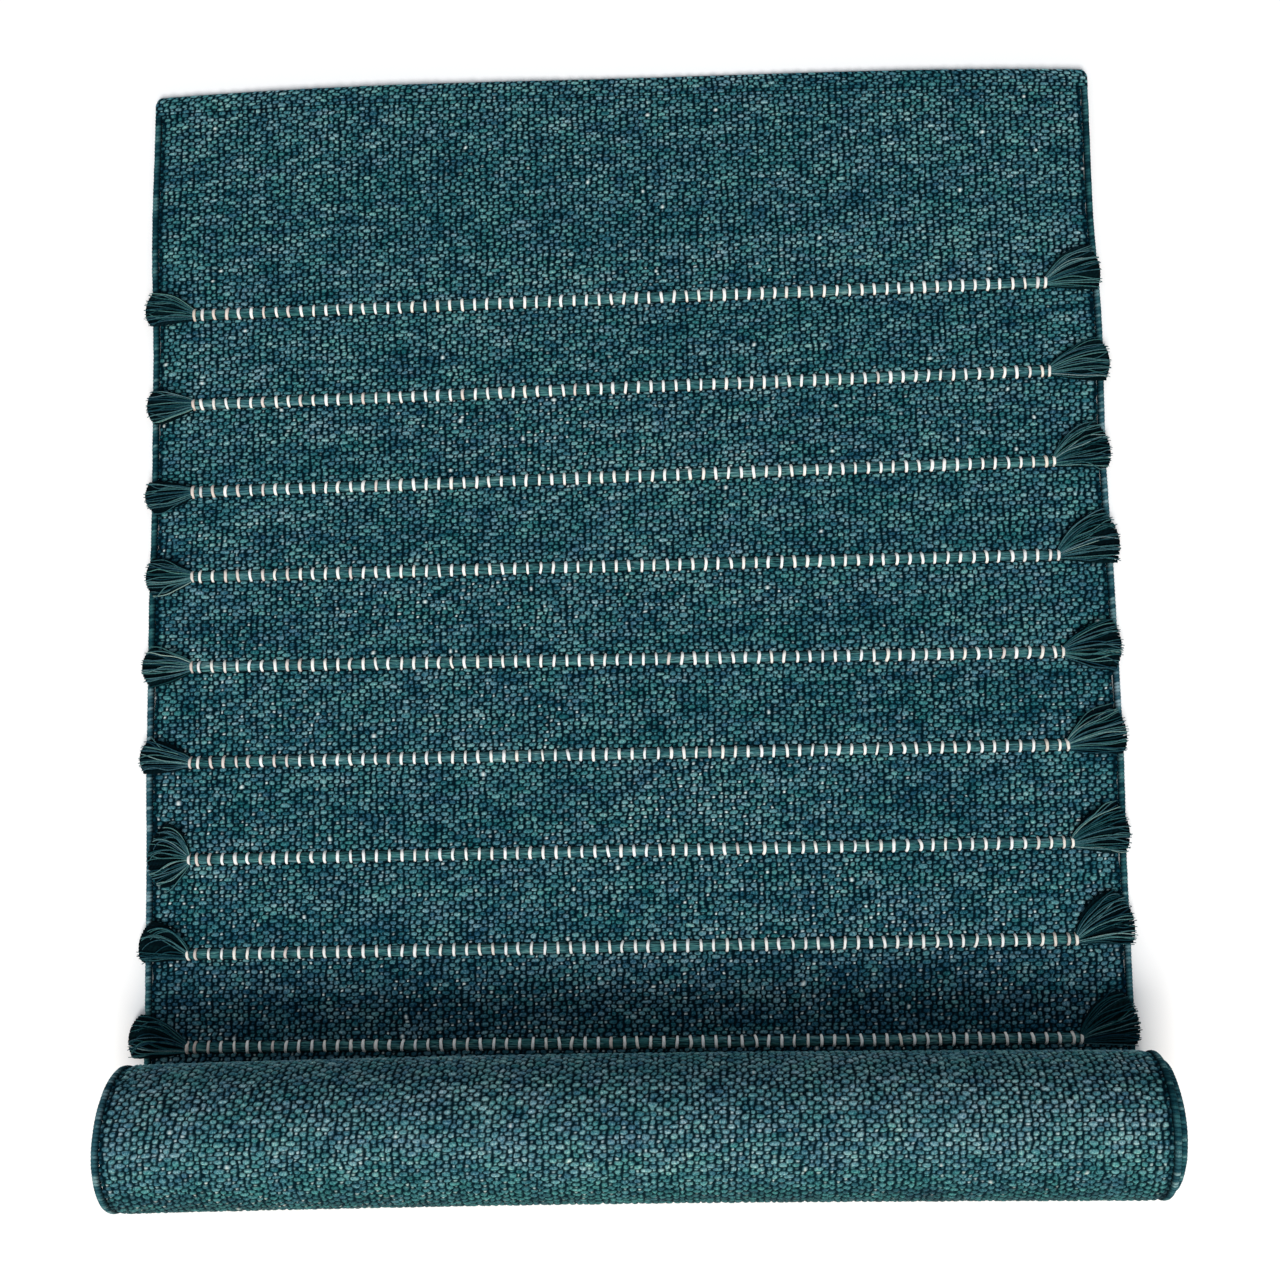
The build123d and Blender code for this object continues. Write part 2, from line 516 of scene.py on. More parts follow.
@dataclass(frozen=True)
class MattPaint:
    """The studio floor: flat white emulsion, which takes a soft shadow and no shine."""

    name: str = "matt_white_floor"
    colour: str = "fefefe"

    def build(self) -> bpy.types.Material:
        """Makes the material.

        Returns:
            The floor's paint.
        """
        material = bpy.data.materials.new(self.name)
        material.use_nodes = True
        paint = material.node_tree.nodes["Principled BSDF"]
        paint.inputs["Base Color"].default_value = linear(self.colour)
        paint.inputs["Roughness"].default_value = 0.95
        paint.inputs["Specular IOR Level"].default_value = 0.1
        return material


@dataclass
class Lay:
    """How the cloth lies: flat from the far end, then round a two-centre spiral.

    A place on the cloth is x across it, s along it from the far end, and depth up from its back.
    A run is how far along the cloth a change takes to come in. Lengths are in metres.
    """

    far_end: float
    axis_y: float
    roll_radius: float
    thickness: float
    half_width: float
    stripe_y: Array
    stripe_rise: Array
    wrap_gap: float = 0.45 * MM
    half_turns: int = 15
    end_bow: float = 4.0 * MM
    end_bow_run: float = 0.15
    end_climb: float = 0.7 * MM
    corner_radius: float = 6.0 * MM
    loft: float = 0.9 * MM
    loft_run: float = 0.12
    edge_wander: float = 1.6 * MM
    right_spread: float = 1.9 * MM
    edge_run: float = 0.05
    slip: float = 6.5 * MM
    slip_turns: tuple[int, int] = (1, 6)
    sag: float = 0.7 * MM
    sagging_turns: int = 2
    roll_bow: float = 2.5 * MM
    roll_bow_run: float = 0.06
    swell: Wander = field(default_factory=lambda: Wander(1, 0.16, 0.11))
    drift: Wander = field(default_factory=lambda: Wander(2, 10.0, 0.085))
    settle: Wander = field(default_factory=lambda: Wander(3, 0.21, 0.05))

    def __post_init__(self) -> None:
        """Works out where each half turn of the roll begins."""
        self.pitch = self.thickness + self.wrap_gap
        turns = np.arange(self.half_turns)
        self.radii = self.roll_radius - turns * self.pitch / 2
        lengths = math.pi * (self.radii - self.thickness / 2)
        self.flat_length = self.far_end - self.axis_y
        self.starts = self.flat_length + np.concatenate([[0.0], np.cumsum(lengths)])

    @property
    def length(self) -> float:
        """The cloth's whole length, unrolled."""
        return float(self.starts[-1])

    def lift(self, x: Array, y: Array) -> Array:
        """How far the flat cloth stands off the floor where it has never quite flattened."""
        off_roll = ease((y - self.axis_y) / self.loft_run)
        return self.loft * (1 + self.swell.at(x + 0.3, y)) * off_roll

    def rise(self, y: Array) -> Array:
        """How much a pick at y climbs from the left edge to the right one."""
        ends = np.concatenate([[self.axis_y], self.stripe_y[::-1], [self.far_end]])
        climbs = np.concatenate([[0.0], self.stripe_rise[::-1], [self.end_climb]])
        return np.interp(y, ends, climbs)

    def slant(self, x: Array, y: Array) -> Array:
        """Moves a straight pick's y to where the beater left it."""
        return y + self.rise(y) * x / (2 * self.half_width)

    def edge_shift(self, x: Array, y: Array) -> Array:
        """How far the wandering edges carry a point sideways."""
        share = x / self.half_width
        wave = self.drift.at(np.where(share > 0, 3.3, 7.7), y)
        moved = self.edge_wander * wave + np.where(share > 0, self.right_spread, 0.0)
        return moved * np.abs(share) ** 3 * ease((y - self.axis_y) / self.edge_run)

    def place(self, x: Array, s: Array, depth: Array) -> Array:
        """Puts points of the cloth in the frame.

        Args:
            x: across the cloth from its middle.
            s: along the cloth from its far end.
            depth: up from the cloth's back.

        Returns:
            The points, with X, Y and Z last.
        """
        x, s, depth = np.broadcast_arrays(x, s, depth)
        y = self.far_end - s
        bow = self.end_bow * (1 - (x / self.half_width) ** 4) * ease(1 - s / self.end_bow_run)
        flat_y = self.slant(x, y) + bow
        corner = np.clip((self.corner_radius - s) / self.corner_radius, 0, 1)
        tuck = self.corner_radius * (1 - np.sqrt(1 - corner**2))
        flat_x = x * (1 - tuck / self.half_width) + self.edge_shift(x, y)
        flat = np.stack([flat_x, flat_y, depth + self.lift(x, y)], -1)

        turn = np.clip(np.searchsorted(self.starts, s, side="right") - 1, 0, self.half_turns - 1)
        odd = turn % 2
        side = np.where(odd == 1, 1.0, -1.0)
        first, last = (self.starts[number] for number in self.slip_turns)
        radius = self.radii[turn]
        swing = (s - self.starts[turn]) / (radius - self.thickness / 2)
        reach = radius - depth
        wound = (s - first) / (last - first)
        slip = self.slip * (1 - (1 - np.clip(wound, 0, 1)) ** 2)
        sag = self.sag * self.settle.at(x + 0.5, s) * np.sin(np.clip(swing, 0, math.pi)) ** 2
        reach = reach + np.where(turn < self.sagging_turns, sag, 0)
        eased = ease((s - self.flat_length) / self.roll_bow_run)
        bend = self.roll_bow * (1 - (x / self.half_width) ** 2) * eased
        roll = np.stack(
            [
                x + slip,
                self.axis_y + bend + side * reach * np.sin(swing),
                self.roll_radius + odd * self.pitch / 2 + side * reach * np.cos(swing),
            ],
            -1,
        )
        return np.where((s > self.flat_length)[..., None], roll, flat)


@dataclass(frozen=True)
class PlainWeave:
    """A chunky plain weave: packed weft grains in a brick pattern, and warp ends showing as dots.

    A grain is where the weft floats over a warp end, a knot is where it dives between two grains, and
    a valley is the line between two picks.
    """

    columns_per_warp: int = 6
    rows_per_pick: int = 3
    # Pitches, heights and sideways moves, in millimetres.
    warp_pitch: float = 3.94
    pick_pitch: float = 2.26
    crimp: float = 0.45
    gap_depth: float = 0.65
    grain_side: float = 0.5
    warp_rise: float = 0.45
    bridge_rise: float = 0.4
    uneven_rise: float = 0.1
    most_proud: float = 0.1
    grain_nudge: float = 0.22
    pick_sway: float = 0.45
    pick_wave: float = 0.5
    warp_sway: float = 0.8
    # Shares of the stretch's length, of a pick and of a crossing.
    stretch: float = 0.07
    swelling: float = 0.17
    yarn_jog: float = 0.22
    grain_flat: float = 0.27
    grain_fall: float = 0.3
    grain_spread: float = 0.09
    knot_flat: float = 0.07
    knot_fall: float = 0.2
    # How many knots show undyed warp, how quickly it comes in and how bright it is.
    dots_at_start: float = 0.06
    dots_at_end: float = 0.42
    dots_by_packing: float = 0.2
    dot_onset: float = 3.0
    dot_brightness: tuple[float, float] = (0.45, 1.0)
    dot_in_valley: float = 0.45
    slub_share: float = 0.004
    slub_brightness: float = 0.9
    # The dye's tone, and how far each cause sways it or the hue; the cloth is darkened towards the roll as
    # painted shade.
    tone: float = 0.55
    near_painted_shade: float = 0.07
    grain_tone: float = 0.34
    yarn_tone: float = 0.09
    batch_tone: float = 0.06
    cloud_tone: float = 0.09
    hue_sway: float = 0.4
    grain_hue: float = 0.3
    # Painted shade: how far out of the shaded hollows each place counts, from 0 to 1.
    grain_crest: float = 0.88
    knot_crest: float = 0.62
    knot_spread: float = 0.35
    valley_crest: float = 0.03
    bridge_crest: float = 0.42
    pock_shade: float = 0.4
    uneven_crest: float = 0.06
    # No grain is further than this many standard deviations from the mean.
    outlier: float = 1.5

    def relief(self, warps: int, picks: int, seed: int) -> tuple[Array, Array, Array, dict[str, Array]]:
        """Works out the weave's surface.

        Args:
            warps: how many warp ends wide.
            picks: how many picks long.
            seed: names this stretch of cloth.

        Returns:
            Places across in mm, places along in mm, depth under the crests in mm, and traits,
            all rows by columns.
        """
        chance = np.random.default_rng(SEED * 77 + seed)
        step = np.arange(picks * self.rows_per_pick + 1)
        pick = (step // self.rows_per_pick)[:, None]
        part = (step % self.rows_per_pick / self.rows_per_pick)[:, None]
        warp = np.arange(warps * self.columns_per_warp + 1)[None, :] / self.columns_per_warp
        jog = self.yarn_jog * Wander(seed + 21, 5.0, 1.0, 512).at(warp * self.warp_pitch, pick)
        crossing = warp + pick + jog
        over = np.cos(np.pi * crossing)
        off_crest = np.abs((crossing + 1) % 2 - 1)
        valley = part == 0
        count = pick + part + self.swelling * over * (2 * part - 1)
        share = count / picks
        along = picks * self.pick_pitch * ((1 - self.stretch) * share + self.stretch * share**2)
        across = np.broadcast_to(warp * self.warp_pitch, along.shape)

        def sway(number: int, cell_x: float, cell_y: float, size: int = 64) -> Array:
            """One of the stretch's smooth random fields, at the places as they now are."""
            return Wander(seed + number, cell_x, cell_y, size).at(across, along)

        cells = (picks + 1, warps + 4)
        grain = (pick, np.round(crossing / 2).astype(int) % cells[1])
        knot = (pick, np.round((crossing + 1) / 2).astype(int) % cells[1])
        tone = chance.uniform(0, 1, cells)[grain]
        size = np.clip(chance.normal(0, 1, cells)[grain], -self.outlier, self.outlier)
        uneven = sway(11, 5.5, 3.1, 256)
        uneven_too = sway(12, 6.5, 3.7, 256)
        waves = sway(13, 38.0, 17.0)

        likely = self.dots_at_start + (self.dots_at_end - self.dots_at_start) * share
        likely = likely + self.dots_by_packing * sway(17, 120.0, 40.0)
        shown = np.clip((likely - chance.uniform(0, 1, cells)[knot]) * self.dot_onset, 0, 1)
        bright = chance.uniform(*self.dot_brightness, cells)[knot]
        plump = self.grain_spread * chance.uniform(-1, 1, cells)[grain]
        crest = 1 - ease((off_crest - self.grain_flat - plump) / self.grain_fall)
        hump = 1 - ease((1 - off_crest - self.knot_flat) / self.knot_fall)
        covered = self.knot_crest + self.knot_spread * (chance.uniform(0, 1, cells)[knot] - 0.5)
        dots = hump * shown * np.where(valley, self.dot_in_valley, 1.0)

        sunk = self.crimp * (1 - over) + self.grain_side * (1 - crest) * (1 - hump)
        bridged = np.clip(sway(20, 3.2, 2.6, 256), 0, 1)
        pocked = np.clip(sway(22, 1.3, 1.1, 512), 0, 1)
        depth = np.where(valley, self.crimp + self.gap_depth, sunk)
        depth = depth - self.warp_rise * dots + self.uneven_rise * uneven
        plumper = self.uneven_rise * size * (over > 0)
        depth = depth - np.where(valley, self.bridge_rise * bridged, plumper)
        drawn = np.clip(chance.normal(0, 1, cells)[grain], -self.outlier, self.outlier)
        nudge = self.grain_nudge * drawn * np.clip(over, 0, 1)
        along = along + self.pick_sway * uneven + self.pick_wave * waves + np.where(valley, 0, nudge)
        across = across + self.warp_sway * uneven_too

        slub = chance.uniform(0, 1, cells)[grain] < self.slub_share
        slubs = np.where(slub, np.clip(over, 0, 1) ** 4, 0)
        yarn = sway(14, 26.0, 2.2, 256)
        batch = sway(15, 95.0, 21.0)
        cloud = sway(18, 9.0, 6.0, 128)
        hue = sway(19, 11.0, 5.0, 128) + chance.normal(0, self.grain_hue, cells)[grain]
        # Painted shade: the tone darkens towards the roll.
        mottled = self.tone - self.near_painted_shade * share**2 + self.grain_tone * (tone - 0.5)
        mottled = mottled + self.yarn_tone * yarn + self.batch_tone * batch + self.cloud_tone * cloud
        # Painted shade: grains are lit on their crests and dark in valleys and knots, less where yarn
        # bridges a valley, darker in random pocks and where the cloth lies lower.
        lit = np.maximum(self.grain_crest * crest, hump * np.maximum(covered, shown))
        between = np.maximum(crest, hump) * (self.valley_crest + self.bridge_crest * bridged)
        raised = np.where(valley, between, lit) * (1 - self.pock_shade * pocked)
        traits = {
            "tone": mottled,
            "hue": np.clip(0.5 + self.hue_sway * hue, 0, 1),
            "crest": np.clip(raised - self.uneven_crest * uneven, 0, 1),
            "fleck": np.clip(dots * bright + self.slub_brightness * slubs, 0, 1),
        }
        return across, along, np.clip(depth, -self.most_proud, None), traits


@dataclass
class GroundCloth:
    """The whole ground cloth, woven in one piece, which end bands and selvedges finish."""

    lay: Lay
    weave: PlainWeave = PlainWeave()
    back_weave: PlainWeave = PlainWeave(
        pick_pitch=2.35, stretch=0.0, dots_at_start=0.3, dots_at_end=0.3, near_painted_shade=0.0
    )
    # Sizes in millimetres: the edges, the channel under each bundle and the plain stretches' inset.
    selvedge_width: float = 4.5
    end_band: float = 12.0
    edge_run: float = 5.0
    edge_dip: float = 1.1
    straight_run: float = 3.0
    channel_sink: float = 1.7
    channel_half: float = 3.2
    channel_lip: float = 0.7
    channel_side: float = 1.1
    channel_inset: float = 29.5
    channel_end: float = 2.5
    plain_inset: float = 0.25
    # Sizes in metres: where the fine weave stops, and how coarse the hidden stretches are.
    fold_margin: float = 0.004
    wrap_margin: float = 0.006
    seam_step: float = 0.003
    coarse_step: float = 0.012
    coarse_columns: int = 24
    # The back's colour against the face's: its own tone, with painted shade low on the roll's near side
    # and painted light on its crown, which begins crown_from past the fold and is whole crown_span later.
    # Low down, a painted warm bounce from the floor turns the hue to the green lot and adds pale flecks,
    # and back_fill lightens the painted shade of the back's hollows.
    mean_tone: float = 0.54
    back_tone_and_painted_shade: float = -0.43
    crown_painted_light: float = 0.54
    crown_from: float = 0.07
    crown_span: float = 0.06
    back_fill: float = 0.07
    back_evenness: float = 0.78
    back_hue: float = 0.1
    low_painted_bounce_hue: float = -0.6
    back_fleck: float = 0.42
    crown_fleck: float = 0.18
    low_painted_bounce_fleck: float = 0.03
    # Painted shade: the face is bluer in the roll's shade, and darker, in tone and hollows, in the dip
    # beside the selvedges.
    shaded_hue: float = 0.32
    shade_from: float = -0.14
    shade_span: float = 0.08
    edge_dark: float = 0.35
    edge_hollow: float = 0.45

    def across(self, places: Array, span: float) -> Array:
        """Centres places across the weave, in mm, on the cloth, in metres."""
        return (places / span - 0.5) * 2 * (self.lay.half_width - self.selvedge_width * MM)

    def channel(self, x: Array, s: Array) -> Array:
        """How deep the cloth's face sinks under each inlaid bundle, in metres."""
        y = self.lay.far_end - s
        inside = ease((self.lay.half_width - self.channel_inset * MM - np.abs(x)) / (self.channel_end * MM))
        reach = self.channel_half * MM + self.channel_lip * MM
        sunk = np.zeros(np.broadcast(x, s).shape)
        for middle in self.lay.stripe_y:
            near = ease((reach - np.abs(y - middle)) / (self.channel_side * MM))
            sunk = np.maximum(sunk, near * self.channel_sink * MM)
        return sunk * inside

    def edge_fall(self, x: Array) -> Array:
        """How far the weave dips beside the selvedge's rib, from 0 to 1."""
        gap = self.lay.half_width - self.selvedge_width * MM - np.abs(x)
        return ease(1 - gap / (self.edge_run * MM))

    def recolour(self, layer: Layer, s: Array, fall: Array, traits: dict[str, Array]) -> None:
        """Paints light and shade into the weave's traits: on the roll's back, in the roll's shade and in
        the dip beside the selvedge.

        Args:
            layer: which side of the cloth it is on.
            s: how far along the cloth each point is.
            fall: how far each point dips beside the selvedge.
            traits: the weave's traits, which are changed in place.
        """
        past_fold = s - self.lay.flat_length
        # Painted shade: darker in the dip beside the selvedge.
        traits["tone"] = traits["tone"] - self.edge_dark * fall
        if layer is Layer.BACK:
            # Painted light and shade: the back is dark low on the roll and light on its crown, and low down
            # a painted warm floor bounce sways its hue and flecks.
            crown_light = ease((past_fold - self.crown_from) / self.crown_span)
            level = self.mean_tone + self.back_tone_and_painted_shade + self.crown_painted_light * crown_light
            fleck = self.back_fleck + self.crown_fleck * crown_light
            traits["tone"] = level + self.back_evenness * (traits["tone"] - self.mean_tone)
            traits["hue"] = np.clip(traits["hue"] + self.back_hue + self.low_painted_bounce_hue * (1 - crown_light), 0, 1)
            traits["crest"] = traits["crest"] + self.back_fill * (1 - traits["crest"])
            traits["fleck"] = traits["fleck"] * fleck + self.low_painted_bounce_fleck * (1 - crown_light)
        else:
            shaded = ease((past_fold - self.shade_from) / self.shade_span)
            traits["hue"] = np.clip(traits["hue"] + self.shaded_hue * shaded, 0, 1)
        # Painted shade: the dip beside the selvedge is darker in its hollows too.
        traits["crest"] = traits["crest"] * (1 - self.edge_hollow * fall)

    def fine(
        self, mesh: Patchwork, layer: Layer, start: float, picks: int, seed: int, tile: Tile
    ) -> Stretch:
        """Adds one woven stretch on one side of the cloth.

        Args:
            mesh: collects the cloth.
            layer: which side of the cloth it is on.
            start: where it begins along the cloth, in metres.
            picks: how many picks long it is.
            seed: names the stretch.
            tile: its place on the bake map.

        Returns:
            The points' numbers, x and s.
        """
        weave = self.weave if layer is Layer.FACE else self.back_weave
        warps = round(2 * (self.lay.half_width / MM - self.selvedge_width) / weave.warp_pitch)
        across, along, depth, traits = weave.relief(warps, picks, seed)
        span = warps * weave.warp_pitch
        x = self.across(np.clip(across, 0, span), span)
        length = picks * weave.pick_pitch
        blend = ease(np.minimum(along, length - along) / self.straight_run)
        even = np.linspace(0, 1, len(along))[:, None]
        straight = length * ((1 - weave.stretch) * even + weave.stretch * even**2)
        s = start + (along * blend + straight * (1 - blend)) * MM
        fall = self.edge_fall(x)
        height = (depth + self.edge_dip * fall) * MM
        if layer is Layer.FACE:
            height = self.lay.thickness - height - self.channel(x, s)
        self.recolour(layer, s, fall, traits)
        points = self.lay.place(x, s, height)
        return mesh.grid(points, traits, tile, flip=layer is Layer.FACE), x, s

    def coarse(self, mesh: Patchwork, layer: Layer, start: float, end: float, tile: Tile) -> Stretch:
        """Adds a plain stretch where the cloth is pressed against cloth or floor.

        Args:
            mesh: collects the cloth.
            layer: which side of the cloth it is on.
            start: where it begins along the cloth, in metres.
            end: where it ends.
            tile: its place on the bake map.

        Returns:
            The points' numbers, x and s.
        """
        rows = max(2, round((end - start) / self.coarse_step))
        s = np.linspace(start, end, rows)[:, None]
        half = self.lay.half_width - self.selvedge_width * MM
        x = np.linspace(-half, half, self.coarse_columns + 1)[None, :]
        x, s = np.broadcast_arrays(x, s)
        inset = self.plain_inset * MM
        height = self.lay.thickness - inset if layer is Layer.FACE else inset
        points = self.lay.place(x, s, np.full(x.shape, height))
        traits = {"tone": 0.42, "crest": 0.75, "fleck": 0.0}
        return mesh.grid(points, traits, tile, flip=layer is Layer.FACE), x, s

    @staticmethod
    def sew(mesh: Patchwork, face: list[Stretch], back: list[Stretch]) -> None:
        """Joins each side's stretches end to end, then the two sides all round.

        Args:
            mesh: collects the cloth.
            face: the face's stretches, from the far end on.
            back: the back's stretches, from the far end on.
        """
        for side in (face, back):
            for (one, one_x, _), (other, other_x, _) in zip(side, side[1:]):
                ends = [(one[-1], one_x[-1]), (other[0], other_x[0])]
                mesh.seam(*(reversed(ends) if side is face else ends))
        for column in (0, -1):
            borders = [
                tuple(np.concatenate([stretch[part][:, column] for stretch in side]) for part in (0, 2))
                for side in (face, back)
            ]
            mesh.seam(*(reversed(borders) if column == 0 else borders))
        for end in (0, -1):
            rims = [(side[end][0][end], side[end][1][end]) for side in (face, back)]
            mesh.seam(*(rims if end == 0 else reversed(rims)))

    def build(self, finish: bpy.types.Material) -> bpy.types.Object:
        """Weaves the ground cloth as one closed mesh.

        Args:
            finish: the cloth's material.

        Returns:
            The cloth.
        """
        lay, pitch, back_pitch = self.lay, self.weave.pick_pitch * MM, self.back_weave.pick_pitch * MM
        start, end = self.end_band * MM, lay.length - self.end_band * MM
        face_picks = int((lay.flat_length - self.fold_margin - start) / pitch)
        face_end = start + face_picks * pitch + self.seam_step
        back_start = lay.flat_length + self.fold_margin
        back_picks = int((lay.starts[2] - self.wrap_margin - back_start) / back_pitch)
        back_end = back_start + back_picks * back_pitch + self.seam_step

        mesh = Patchwork()
        face = [
            self.fine(mesh, Layer.FACE, start, face_picks, 100, (0.0, 0.3, 0.995, 0.995)),
            self.coarse(mesh, Layer.FACE, face_end, end, (0.0, 0.12, 0.5, 0.15)),
        ]
        back = [
            self.coarse(mesh, Layer.BACK, start, back_start - self.seam_step, (0.0, 0.16, 0.5, 0.19)),
            self.fine(mesh, Layer.BACK, back_start, back_picks, 200, (0.0, 0.2, 0.995, 0.295)),
            self.coarse(mesh, Layer.BACK, back_end, end, (0.5, 0.12, 0.99, 0.15)),
        ]
        self.sew(mesh, face, back)
        cloth = mesh.make("ground_cloth", finish)
        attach(cloth, "root")
        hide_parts("cloth_flat", "cloth_roll")
        return cloth


@dataclass
class EndBand:
    """The close-packed picks that finish one end of the cloth, rounded over at the very edge."""

    lay: Lay
    name: str
    starts_at: float
    ends_at: float
    nose_first: bool
    weave: PlainWeave = PlainWeave(pick_pitch=2.0, stretch=0.0, dots_at_end=0.1)
    # Sizes in millimetres, and the back's relief as a share of the face's.
    nose: float = 1.8
    least_half: float = 0.15
    back_relief: float = 0.6

    def build(self, finish: bpy.types.Material) -> bpy.types.Object:
        """Makes the band as one closed mesh, face and back meeting at the rounded nose.

        Args:
            finish: the band's material.

        Returns:
            The band.
        """
        length = (self.ends_at - self.starts_at) / MM
        picks = round(length / self.weave.pick_pitch)
        warps = round(2 * self.lay.half_width / MM / self.weave.warp_pitch)
        across, along, depth, traits = self.weave.relief(warps, picks, 300)
        x = (np.clip(across / (warps * self.weave.warp_pitch), 0, 1) - 0.5) * 2 * self.lay.half_width
        share = np.clip(along / (picks * self.weave.pick_pitch), 0, 1)
        share[0], share[-1] = 0.0, 1.0
        from_nose = (share if self.nose_first else 1 - share) * length
        from_side = (self.lay.half_width - np.abs(x)) / MM
        half = self.lay.thickness / 2 / MM
        closeness = np.minimum(from_nose, from_side)
        t = np.clip(closeness / self.nose, 0, 1)
        round_over = half * np.sqrt(1 - (1 - t) ** 2)
        s = self.starts_at + share * (self.ends_at - self.starts_at)
        mesh = Patchwork()
        sheets = []
        for sign in (1, -1):
            inset = depth * (1 if sign > 0 else self.back_relief)
            height = (half + sign * np.maximum(round_over - inset * t, self.least_half)) * MM
            points = self.lay.place(x, s, height)
            tile = (0.0, 0.5, 0.99, 0.99) if sign > 0 else (0.0, 0.0, 0.99, 0.49)
            sheets.append(mesh.grid(points, traits, tile, flip=sign > 0))
        face, back = sheets
        columns, rows = x[0], s[:, 0]
        mesh.seam((face[0], columns), (back[0], columns))
        mesh.seam((back[-1], columns), (face[-1], columns))
        mesh.seam((back[:, 0], rows), (face[:, 0], rows))
        mesh.seam((face[:, -1], rows), (back[:, -1], rows))
        band = mesh.make(self.name, finish)
        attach(band, "root")
        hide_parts(self.name)
        return band


@dataclass
class Selvedge:
    """One corded edge: weft loops packed round doubled warp ends, from end to end of the cloth."""

    lay: Lay
    side: Side
    ring: int = 12
    rows_per_loop: int = 3
    # Sizes in millimetres.
    width: float = 4.5
    end_inset: float = 12.0
    loop_pitch: float = 2.25
    clearance: float = 0.05
    # The loops' slant and start in radians, the section's squareness, and shares of the full size.
    loop_slant: float = 0.55
    loop_start: float = 0.35
    squareness: float = 0.8
    least_size: float = 0.86
    loop_swell: float = 0.12
    uneven_swell: float = 0.05
    # The dye's tone and hue, and how far each cause sways them; then the painted shade in the grooves
    # between loops and on the rib's inner side.
    tone: float = 0.55
    loop_tone: float = 0.6
    streak_tone: float = 0.25
    hue: float = 0.35
    streak_hue: float = 0.5
    groove_crest: float = 0.2
    loop_crest: float = 0.6
    inner_shade: float = 0.8

    def build(self, finish: bpy.types.Material) -> bpy.types.Object:
        """Makes the rib as one closed tube along the cloth.

        Args:
            finish: the rib's material.

        Returns:
            The selvedge.
        """
        lay = self.lay
        first, last = self.end_inset * MM, lay.length - self.end_inset * MM
        count = round((last - first) / (self.loop_pitch * MM)) * self.rows_per_loop
        s = np.linspace(first, last, count + 1)[:, None]
        angle = np.linspace(0, 2 * np.pi, self.ring, endpoint=False)[None, :]
        loop = np.pi * (s - first) / (self.loop_pitch * MM) + self.loop_slant * np.cos(angle)
        bump = np.abs(np.sin(loop + self.loop_start))
        uneven = Wander(400 + self.side.value, 0.006, 1.3, 256).at(s, angle)
        size = self.least_size + self.loop_swell * bump + self.uneven_swell * uneven
        out = np.sign(np.cos(angle)) * np.abs(np.cos(angle)) ** self.squareness
        up = np.sign(np.sin(angle)) * np.abs(np.sin(angle)) ** self.squareness
        centre = self.side.value * (lay.half_width - self.width * MM / 2)
        x = centre + out * size * self.width * MM / 2
        height = lay.thickness / 2 + up * size * (lay.thickness / 2 - self.clearance * MM)
        points = lay.place(x, np.broadcast_to(s, x.shape), height)
        chance = np.random.default_rng(SEED + 41 + self.side.value)
        loops = chance.uniform(0, 1, count)[np.floor(loop / np.pi).astype(int) % count]
        streak = Wander(410 + self.side.value, 0.05, 9.0).at(s, angle)
        # Painted shade: the rib is darker in the grooves between loops and on its side towards the cloth.
        lit = np.clip(1.0 + self.inner_shade * self.side.value * np.cos(angle), 0, 1)
        traits = {
            "tone": self.tone + self.loop_tone * (loops - 0.5) + self.streak_tone * streak,
            "hue": np.clip(self.hue + self.streak_hue * streak, 0, 1),
            "crest": (self.groove_crest + self.loop_crest * bump) * lit,
        }
        mesh = Patchwork()
        numbers = mesh.grid(points, traits, (0.0, 0.0, 0.99, 0.99), ring=True)
        ends = {"tone": 0.3, "crest": 0.5}
        mesh.cap(numbers[0], points[0].mean(0), ends, True)
        mesh.cap(numbers[-1], points[-1].mean(0), ends, False)
        label = self.side.name.lower()
        rib = mesh.make(f"selvedge_{label}", finish)
        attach(rib, "root")
        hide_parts(f"selvedge_{label}_flat", f"selvedge_{label}_roll")
        return rib


def node_points(name: str) -> Array:
    """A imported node's points.

    Args:
        name: the node.

    Returns:
        Its points, in metres.
    """
    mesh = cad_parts[name].data
    points = np.zeros(len(mesh.vertices) * 3, np.float32)
    mesh.vertices.foreach_get("co", points)
    return points.reshape(-1, 3).astype(float)


def bundle_rims(number: int) -> tuple[Array, Array]:
    """The points at both ends of a packed bundle.

    Args:
        number: which stripe, from 1 at the far end.

    Returns:
        The points of its left end and of its right one.
    """
    body = node_points(f"inlay_bundle_{number}")
    x, rim = body[:, 0], 2 * MM
    return body[x < x.min() + rim], body[x > x.max() - rim]


